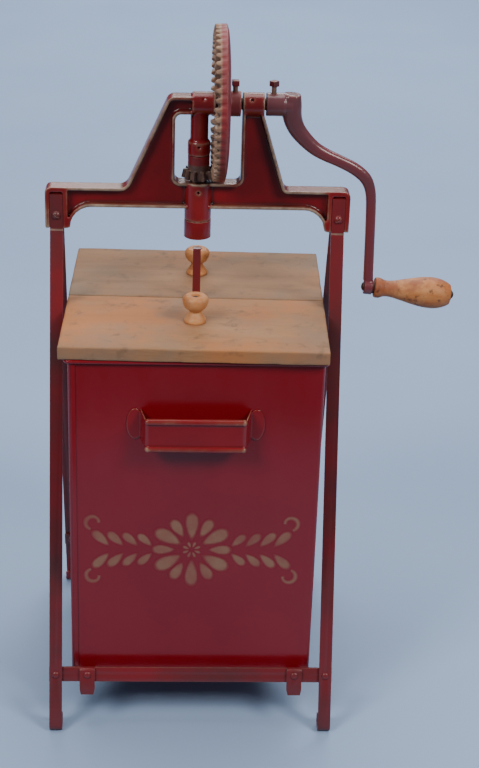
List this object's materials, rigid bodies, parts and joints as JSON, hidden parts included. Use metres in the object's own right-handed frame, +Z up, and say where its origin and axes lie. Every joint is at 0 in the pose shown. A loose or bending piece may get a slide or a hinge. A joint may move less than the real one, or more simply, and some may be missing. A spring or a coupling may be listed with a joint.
{
  "type": "hand-cranked butter churn",
  "caption": "Square tin butter churn with a two-board lid in a strap-iron stand, turned by a swan-neck crank through bevel gears.",
  "frame": {"origin": "on the floor under the middle of the overall width and depth", "axes": "+X along the crankshaft towards the crank, -Y towards the front, +Z up"},
  "size_m": [0.5098, 0.3844, 0.8683],
  "materials": {
    "cast_iron_red": "red enamel worn to rust on the edges",
    "strap_red": "red enamel on strap iron",
    "fastener_red": "painted over with the frame",
    "bare_iron": "dark, oiled and rusty",
    "turned_wood": "turned and varnished, worn",
    "can_red": "glossy red enamel on tinplate",
    "handle_red": "red enamel, worn on the rolled edges",
    "lid_wood": "bare weathered boards",
    "stem_iron": "red enamel over a square iron rod",
    "paddle_wood": "bare scrubbed boards"
  },
  "bodies": {
    "stand": {"yoke": "cast_iron_red", "leg_front_left": "strap_red", "leg_front_right": "strap_red", "leg_rear_left": "strap_red", "leg_rear_right": "strap_red", "crossbar_front": "strap_red", "crossbar_rear": "strap_red", "rest_strap_left": "strap_red", "rest_strap_right": "strap_red", "leg_bolts": "fastener_red", "leg_nuts": "fastener_red", "leg_rivets": "fastener_red", "strap_rivets": "fastener_red"},
    "crankshaft": {"crank_shaft": "bare_iron", "bevel_gear": "cast_iron_red", "gear_set_screw": "fastener_red", "crank_arm": "cast_iron_red", "crank_set_screw": "fastener_red", "grip_bolt": "fastener_red", "grip_washers": "bare_iron"},
    "grip": {"crank_grip": "turned_wood"},
    "spindle": {"spindle": "bare_iron", "bevel_pinion": "bare_iron", "pinion_pin": "bare_iron"},
    "sleeve": {"drive_sleeve": "cast_iron_red"},
    "can": {"can_body": "can_red", "can_bottom": "can_red", "can_rim": "can_red", "can_seams": "can_red", "handle_front": "handle_red", "handle_rear": "handle_red", "pivot_cup": "bare_iron"},
    "lid_front": {"lid_board_front": "lid_wood", "lid_cleats_front": "lid_wood", "lid_knob_front": "turned_wood", "knob_screw_front": "bare_iron"},
    "lid_rear": {"lid_board_rear": "lid_wood", "lid_cleats_rear": "lid_wood", "lid_knob_rear": "turned_wood", "knob_screw_rear": "bare_iron"},
    "dasher": {"dasher_stem": "stem_iron", "paddle_lower": "paddle_wood", "paddle_upper": "paddle_wood", "paddle_pins": "bare_iron"}
  },
  "joints": [
    {"name": "crank_turn", "type": "hinge", "parent": "stand", "child": "crankshaft", "pos_m": [-0.06925, 0, 0.775], "axis": [1, 0, 0], "continuous": true},
    {"name": "grip_spin", "type": "hinge", "parent": "crankshaft", "child": "grip", "pos_m": [0.14595, 0, 0.543], "axis": [0.9962, 0, -0.0872], "continuous": true},
    {"name": "spindle_turn", "type": "hinge", "parent": "stand", "child": "spindle", "pos_m": [-0.06925, 0, 0.69], "axis": [0, 0, 1], "continuous": true},
    {"name": "sleeve_slide", "type": "slide", "parent": "spindle", "child": "sleeve", "axis": [0, 0, 1], "range_m": [-0.024, 0]},
    {"name": "can_lift", "type": "slide", "parent": "stand", "child": "can", "axis": [0, 0, 1], "range_m": [0, 0.01]},
    {"name": "lid_front_lift", "type": "slide", "parent": "can", "child": "lid_front", "axis": [0, -0.7071, 0.7071], "range_m": [0, 0.16]},
    {"name": "lid_rear_lift", "type": "slide", "parent": "can", "child": "lid_rear", "axis": [0, 0.7071, 0.7071], "range_m": [0, 0.16]},
    {"name": "dasher_turn", "type": "hinge", "parent": "can", "child": "dasher", "pos_m": [-0.06925, 0, 0.085], "axis": [0, 0, 1], "continuous": true}
  ],
  "couplings": [
    {"joint": "spindle_turn", "follows": "crank_turn", "ratio": 5.2},
    {"joint": "dasher_turn", "follows": "crank_turn", "ratio": 5.2}
  ]
}
